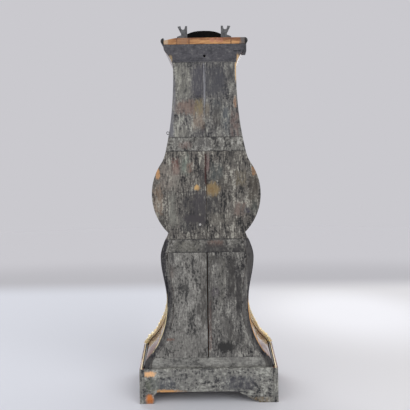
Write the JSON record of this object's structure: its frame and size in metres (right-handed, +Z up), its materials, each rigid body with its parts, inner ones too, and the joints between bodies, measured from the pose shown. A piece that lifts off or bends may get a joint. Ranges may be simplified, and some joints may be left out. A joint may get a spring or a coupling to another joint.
{
  "type": "floor regulator clock",
  "caption": "Violin-shaped longcase regulator clock with a long glazed door, hinged dial bezel, spring-driven train, swinging pendulum and arched plinth, standing on the floor.",
  "frame": {"origin": "on the floor under the middle of the plinth", "axes": "+Z up, -Y towards the dial side, +Y towards the painted back, +X to the right of a person facing the dial"},
  "size_m": [0.638, 0.3, 1.678],
  "materials": {
    "slate_paint": "worn slate grey paint on softwood",
    "bare_oak": "bare sawn wood",
    "veneer": "dark polished veneer",
    "ebonised": "ebonised, polished",
    "gilt_bronze": "gilded cast bronze",
    "brass": "lacquered brass",
    "steel": "blued and polished steel",
    "iron": "dark iron",
    "enamel": "white vitreous enamel on copper",
    "glass": "clear glass"
  },
  "bodies": {
    "case": {"plinth_back": "slate_paint", "base_board_left": "slate_paint", "base_board_right": "slate_paint", "base_bottom_rail": "slate_paint", "waist_rail": "slate_paint", "bulge_board_left": "slate_paint", "bulge_board_right": "slate_paint", "middle_rail": "slate_paint", "neck_board_left": "slate_paint", "neck_board_right": "slate_paint", "head_rail": "slate_paint", "bed_mould_left": "slate_paint", "top_board": "bare_oak", "seat_board": "bare_oak", "plinth_front": "veneer", "plinth_side_left": "veneer", "plinth_side_right": "veneer", "base_side_left": "veneer", "base_side_right": "veneer", "base_front": "veneer", "trunk_side_left": "veneer", "trunk_side_right": "veneer", "trunk_front": "veneer", "cornice": "ebonised", "plinth_moulding": "ebonised", "corner_mount_left": "gilt_bronze", "corner_mount_right": "gilt_bronze", "hinge_upper_case": "brass", "hinge_lower_case": "brass", "front_plate": "brass", "back_plate": "brass", "suspension_cock": "brass", "fork_bracket_left": "iron", "fork_bracket_right": "iron", "ring_eye": "iron", "dial": "enamel"},
    "door": {"trunk_door": "veneer", "lunette_bezel": "gilt_bronze", "lunette_glass": "glass", "hinge_upper_door": "brass", "hinge_lower_door": "brass"},
    "key": {"door_key": "steel"},
    "bezel": {"dial_bezel": "gilt_bronze", "dial_glass": "glass"},
    "pendulum": {"suspension_spring": "steel", "pendulum_rod": "steel", "pendulum_bob": "brass"},
    "nut": {"rating_nut": "brass"},
    "anchor": {"pallets": "steel"},
    "spring_barrel": {"barrel": "brass", "mainspring": "steel"},
    "winding": {"winding_arbor": "steel"},
    "centre": {"centre_wheel": "brass"},
    "third": {"third_wheel": "brass"},
    "escape": {"escape_wheel": "brass"},
    "minute": {"cannon_pinion": "brass", "minute_hand": "steel"},
    "minute_work": {"minute_wheel": "brass"},
    "hour": {"hour_wheel": "brass", "hour_hand": "steel"}
  },
  "joints": [
    {"name": "door_hinge", "type": "hinge", "parent": "case", "child": "door", "pos_m": [0.1044, -0.1058, 0.752], "axis": [0, 0, 1], "range_deg": [0, 100]},
    {"name": "key_turn", "type": "hinge", "parent": "door", "child": "key", "pos_m": [-0.088, -0.102, 1.082], "axis": [0, -1, 0], "range_deg": [0, 90]},
    {"name": "bezel_hinge", "type": "hinge", "parent": "case", "child": "bezel", "pos_m": [0.115, -0.1058, 1.446], "axis": [0, 0, 1], "range_deg": [0, 100]},
    {"name": "pendulum_swing", "type": "hinge", "parent": "case", "child": "pendulum", "pos_m": [0.00006, 0.0183, 1.5], "axis": [0, 1, 0], "range_deg": [-3, 3]},
    {"name": "pallet_swing", "type": "hinge", "parent": "case", "child": "anchor", "pos_m": [0.00006, -0.0157, 1.5], "axis": [0, 1, 0], "range_deg": [-3, 3]},
    {"name": "rating_nut_turn", "type": "hinge", "parent": "pendulum", "child": "nut", "pos_m": [0.00006, 0.0183, 0.814], "axis": [0, 0, 1], "continuous": true},
    {"name": "winding_turn", "type": "hinge", "parent": "case", "child": "winding", "pos_m": [0, -0.065, 1.407], "axis": [0, 1, 0], "range_deg": [0, 1440]},
    {"name": "escape_turn", "type": "hinge", "parent": "case", "child": "escape", "pos_m": [0.00006, -0.0587, 1.474], "axis": [0, 1, 0], "continuous": true},
    {"name": "third_turn", "type": "hinge", "parent": "case", "child": "third", "pos_m": [0.01924, -0.0587, 1.46407], "axis": [0, 1, 0], "continuous": true},
    {"name": "centre_turn", "type": "hinge", "parent": "case", "child": "centre", "pos_m": [0, -0.0587, 1.446], "axis": [0, 1, 0], "continuous": true},
    {"name": "barrel_turn", "type": "hinge", "parent": "case", "child": "spring_barrel", "pos_m": [0, -0.0557, 1.407], "axis": [0, 1, 0], "continuous": true},
    {"name": "minute_hand_turn", "type": "hinge", "parent": "case", "child": "minute", "pos_m": [0, -0.0955, 1.446], "axis": [0, 1, 0], "continuous": true},
    {"name": "minute_work_turn", "type": "hinge", "parent": "case", "child": "minute_work", "pos_m": [-0.02078, -0.0687, 1.458], "axis": [0, 1, 0], "continuous": true},
    {"name": "hour_hand_turn", "type": "hinge", "parent": "case", "child": "hour", "pos_m": [0, -0.0904, 1.446], "axis": [0, 1, 0], "continuous": true}
  ],
  "couplings": [
    {"joint": "pallet_swing", "follows": "pendulum_swing", "ratio": 1},
    {"joint": "third_turn", "follows": "escape_turn", "ratio": -0.125},
    {"joint": "centre_turn", "follows": "escape_turn", "ratio": 0.0125},
    {"joint": "barrel_turn", "follows": "escape_turn", "ratio": -0.0010417},
    {"joint": "minute_work_turn", "follows": "minute_hand_turn", "ratio": -0.33333},
    {"joint": "hour_hand_turn", "follows": "minute_hand_turn", "ratio": 0.083333}
  ]
}
